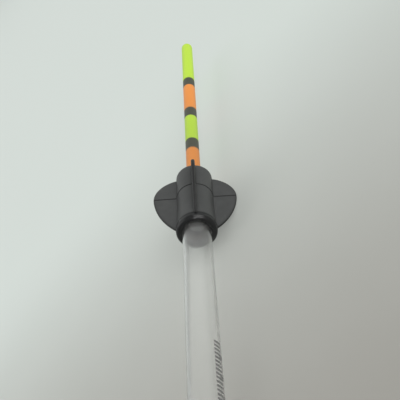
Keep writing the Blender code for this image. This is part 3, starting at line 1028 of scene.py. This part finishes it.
# The thread is a triangle wave along the helix, and the knurl a row of rounded ridges
thread_phase = screw_height / THREAD_PITCH - screw_angle / (2 * np.pi)
thread_wave = np.abs(2 * (thread_phase % 1.0) - 1)
knurl_wave = (0.5 - 0.5 * np.cos(KNURL_COUNT * screw_angle)) ** 1.5
screw_surface = screw_radius - THREAD_DEPTH * threaded * thread_wave
screw_surface = screw_surface - KNURL_DEPTH * knurled * knurl_wave
screw_points = (
    screw_surface * np.cos(screw_angle),
    screw_surface * np.sin(screw_angle),
    screw_height + 0 * screw_angle,
)
base_screw = skin("knurled_base_screw", np.stack(screw_points, axis=-1))
base_screw.data.materials.append(turned_brass("handled_brass", 0.22))
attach(base_screw, "base_screw")
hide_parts("base_screw")


# Swivel barrel: a small drawn steel cup pressed in the screw's nose. Its rim is rolled in round
# the wire, which can turn in it but not come out.

WIRE_HOLE = 0.0006
HEAD_ROOM = 0.0011
BARREL_FLOOR = 0.0008
BARREL_ROLL = 0.0006
BARREL_EDGE = 0.0001
STEEL_BRIGHT = (0.64, 0.64, 0.65, 1.0)
STEEL_STAINED = (0.42, 0.41, 0.40, 1.0)

barrel_low, barrel_top, barrel_radius = reach("swivel_barrel")
swivel_barrel = turned(
    "rolled_swivel_barrel",
    rounded(
        [
            (barrel_radius, barrel_top, BARREL_EDGE),
            (barrel_radius, barrel_low, BARREL_ROLL),
            (WIRE_HOLE, barrel_low, BARREL_EDGE),
            (WIRE_HOLE, barrel_low + BARREL_FLOOR, BARREL_EDGE),
            (HEAD_ROOM, barrel_low + BARREL_FLOOR, BARREL_EDGE),
            (HEAD_ROOM, barrel_top, BARREL_EDGE),
        ],
        steps=8,
    ),
    steps=64,
)


def bare_steel(name, drawn_out):
    """Bare steel with fine lines along it from drawing, and faint grey stains."""
    material, nodes = new_finish(name)
    lines = nodes.noise(own_place(nodes, drawn_out), 0.00006, detail=2)
    stains = nodes.noise(own_place(nodes), 0.0009, detail=5).between(0.45, 0.75)
    surface(
        nodes,
        {
            "Base Color": stains.blend(STEEL_BRIGHT, STEEL_STAINED),
            "Metallic": 1.0,
            "Roughness": 0.14 + 0.14 * lines + 0.22 * stains,
            "Normal": nodes.bump(lines, 0.000004),
        },
    )
    return material


swivel_barrel.data.materials.append(bare_steel("barrel_steel", 12.0))
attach(swivel_barrel, "base_screw")
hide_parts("swivel_barrel")


# Line eye: hard steel wire with an upset head that is held in the barrel. The wire is bent round
# to a ring that takes the fishing line, and its end closes on its own neck.

WIRE_RADIUS = 0.00045
EYE_HEAD_RADIUS = 0.00095
EYE_HEAD_LENGTH = 0.0008
EYE_BEND = 0.0007
EYE_END_TURN = math.radians(27)
WIRE_EDGE = 0.0001

eye_low, eye_top, eye_reach = reach("line_eye")
eye_radius = eye_reach - WIRE_RADIUS
eye_centre = eye_low + eye_reach
neck_low = eye_centre + math.sqrt((eye_radius + EYE_BEND) ** 2 - EYE_BEND**2)
head_low = eye_top - EYE_HEAD_LENGTH
upset_heights = (eye_top, eye_top, eye_top - WIRE_EDGE, head_low + WIRE_EDGE, head_low, head_low)
neck_heights = np.append(upset_heights, np.linspace(head_low - WIRE_EDGE, neck_low, 6))
neck = np.stack((0 * neck_heights, neck_heights), axis=-1)
# The bend is an arc that leaves the neck straight down and runs into the loop's larger circle
bend_stop = math.atan2(neck_low - eye_centre, EYE_BEND)
bend_turn = np.linspace(np.pi, np.pi + bend_stop, 14)[1:]
bend = np.stack((np.cos(bend_turn), np.sin(bend_turn)), axis=-1)
loop_turn = np.linspace(bend_stop, EYE_END_TURN - 1.5 * np.pi, 90)[1:]
loop_turn = np.append(loop_turn, (loop_turn[-1] - WIRE_EDGE / eye_radius,) * 2)
loop = np.stack((np.cos(loop_turn), np.sin(loop_turn)), axis=-1)
wire_path = np.concatenate(
    (neck, (EYE_BEND, neck_low) + EYE_BEND * bend, (0.0, eye_centre) + eye_radius * loop)
)
wire_run = np.concatenate(
    (neck * 0 + (0.0, -1.0), bend[:, ::-1] * (-1, 1), loop[:, ::-1] * (1, -1))
)
wire_size = np.full(len(wire_path), WIRE_RADIUS)
wire_size[:5] = np.array((0, -1, 0, 0, -1)) * WIRE_EDGE + EYE_HEAD_RADIUS
wire_size[0] = wire_size[-1] = 0.0
wire_size[-2] -= WIRE_EDGE
wire_angle = np.linspace(0, 2 * np.pi, 24, endpoint=False)
wire_out = wire_size[:, None] * np.cos(wire_angle)
wire_points = np.stack(
    (
        wire_path[:, :1] - wire_run[:, 1:] * wire_out,
        wire_size[:, None] * np.sin(wire_angle),
        wire_path[:, 1:] + wire_run[:, :1] * wire_out,
    ),
    axis=-1,
)
line_eye = skin("bent_wire_eye", wire_points)
line_eye.data.materials.append(bare_steel("wire_steel", 6.0))
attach(line_eye, "line_eye")
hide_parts("line_eye")


# Floor: a pale, matt table top with the faintest mottling, wide enough to fill the view. Painted
# shade darkens it towards the viewer's side, where the room's light falls off. It glows like a
# light table, which keeps shadows faint.

FLOOR_SIZE = 24.0
FLOOR_NEAR = (0.140, 0.131, 0.117, 1.0)
FLOOR_FAR = (0.322, 0.348, 0.330, 1.0)
FLOOR_MOTTLE = (0.45, 0.45, 0.45, 1.0)
FLOOR_FADE = (-0.139, 0.127)
FLOOR_GLOW = 0.9
FLOOR_LINES = 41

floor_line = np.linspace(-FLOOR_SIZE / 2, FLOOR_SIZE / 2, FLOOR_LINES)
floor_x, floor_y = np.meshgrid(floor_line, floor_line, indexing="ij")
floor_number = np.arange(floor_x.size).reshape(floor_x.shape)
floor_faces = np.stack(
    (floor_number[:-1, :-1], floor_number[1:, :-1], floor_number[1:, 1:], floor_number[:-1, 1:]),
    axis=-1,
)
floor = add_piece(
    "pale_floor",
    np.stack((floor_x, floor_y, 0 * floor_x), axis=-1).reshape(-1, 3),
    floor_faces.reshape(-1, 4).tolist(),
)
floor_finish, nodes = new_finish("pale_table")
floor_place = nodes.node("TexCoord", output="Object")
mottle = nodes.noise(floor_place, 0.05, detail=5)
# Painted shade: the floor's colour darkens towards the viewer's side
painted_falloff = nodes.node("SeparateXYZ", {0: floor_place}, output="Y").between(*FLOOR_FADE)
floor_tone = (0.1 * mottle).blend(painted_falloff.blend(FLOOR_NEAR, FLOOR_FAR), FLOOR_MOTTLE)
surface(
    nodes,
    {
        "Base Color": floor_tone,
        "Roughness": 0.55 + 0.1 * mottle,
        "Emission Color": floor_tone,
        "Emission Strength": FLOOR_GLOW,
    },
)
floor.data.materials.append(floor_finish)


# Light: a pale room that is brighter on the far side, beyond the tip, and dimmer behind the viewer,
# with two wide soft lamps over the float, to its left and right, and a small one by the viewer.

# Each lamp's place, its width in metres and its power in watts
LAMPS = {
    "left_side": ((-2.75, -0.25, 4.0), 4.0, 46.0),
    "right_side": ((8.1, -4.5, 4.68), 7.2, 684.0),
    "viewer_side": ((0.36, -0.72, 0.40), 0.16, 0.9),
}
LAMP_TARGET = (0.0, 0.0, 0.0)
BRIGHT_SIDE = np.array((-0.20, 0.90, 0.40))
BRIGHT_FADE = (-0.7, 0.8)
ROOM_DIM = (0.38, 0.39, 0.38, 1.0)
ROOM_BRIGHT = (0.70, 0.725, 0.71, 1.0)


def aimed(location, target, up):
    """A matrix for something at a location that faces a target, with its own up direction."""
    location, target, up = (np.array(value, dtype=float) for value in (location, target, up))
    back = location - target
    back /= np.linalg.norm(back)
    right = np.cross(up, back)
    right /= np.linalg.norm(right)
    turn = Matrix(np.stack((right, np.cross(back, right), back), axis=-1)).to_quaternion()
    return Matrix.LocRotScale(location, turn, None)


for lamp_name, (location, size, power) in LAMPS.items():
    lamp_data = bpy.data.lights.new(lamp_name, "AREA")
    lamp_data.energy = power
    lamp_data.size = size
    lamp = bpy.data.objects.new(lamp_name, lamp_data)
    bpy.context.scene.collection.objects.link(lamp)
    lamp.matrix_world = aimed(location, LAMP_TARGET, (0, 1, 0))
room = bpy.data.worlds.new("pale_room")
room.use_nodes = True
room.node_tree.nodes.clear()
nodes = Shade(room.node_tree)
outwards = nodes.node("TexCoord", output="Generated")
bright_side = tuple(BRIGHT_SIDE / np.linalg.norm(BRIGHT_SIDE))
facing = nodes.node("VectorMath", {0: outwards, 1: bright_side}, "Value", operation="DOT_PRODUCT")
room_tone = facing.between(*BRIGHT_FADE).blend(ROOM_DIM, ROOM_BRIGHT)
nodes.node("OutputWorld", {"Surface": nodes.node("Background", {"Color": room_tone})})
bpy.context.scene.world = room
bpy.context.scene.view_settings.view_transform = "Standard"


# Camera: close to the tube's end and above it, looking along the float to its tip, and leaning so
# that the float stands nearly upright in the picture.

FRAME_PIXELS = 400
FOCAL_PIXELS = 670
# Directions along the float's own axes
VIEW_FORWARD = np.array((-0.6047, 0.0002, 0.7965))
VIEW_UP = np.array((0.7949, 0.0639, 0.6034))
VIEW_DISTANCE = 0.225
VIEW_RIGHT_SHIFT = 0.00165
VIEW_UP_SHIFT = -0.0006

forward = VIEW_FORWARD @ own_axes
up = VIEW_UP @ own_axes
right = np.cross(forward, up)
collar_middle = axis_point + along * (collar_low + parting)
stand = collar_middle - VIEW_DISTANCE * forward + VIEW_RIGHT_SHIFT * right + VIEW_UP_SHIFT * up
camera_data = bpy.data.cameras.new("view_along_float")
camera_data.sensor_width = 36.0
camera_data.lens = camera_data.sensor_width * FOCAL_PIXELS / FRAME_PIXELS
camera_data.clip_start = 0.005
camera_data.clip_end = 50.0
camera = bpy.data.objects.new("view_along_float", camera_data)
bpy.context.scene.collection.objects.link(camera)
camera.matrix_world = aimed(stand, stand + forward, up)
bpy.context.scene.camera = camera
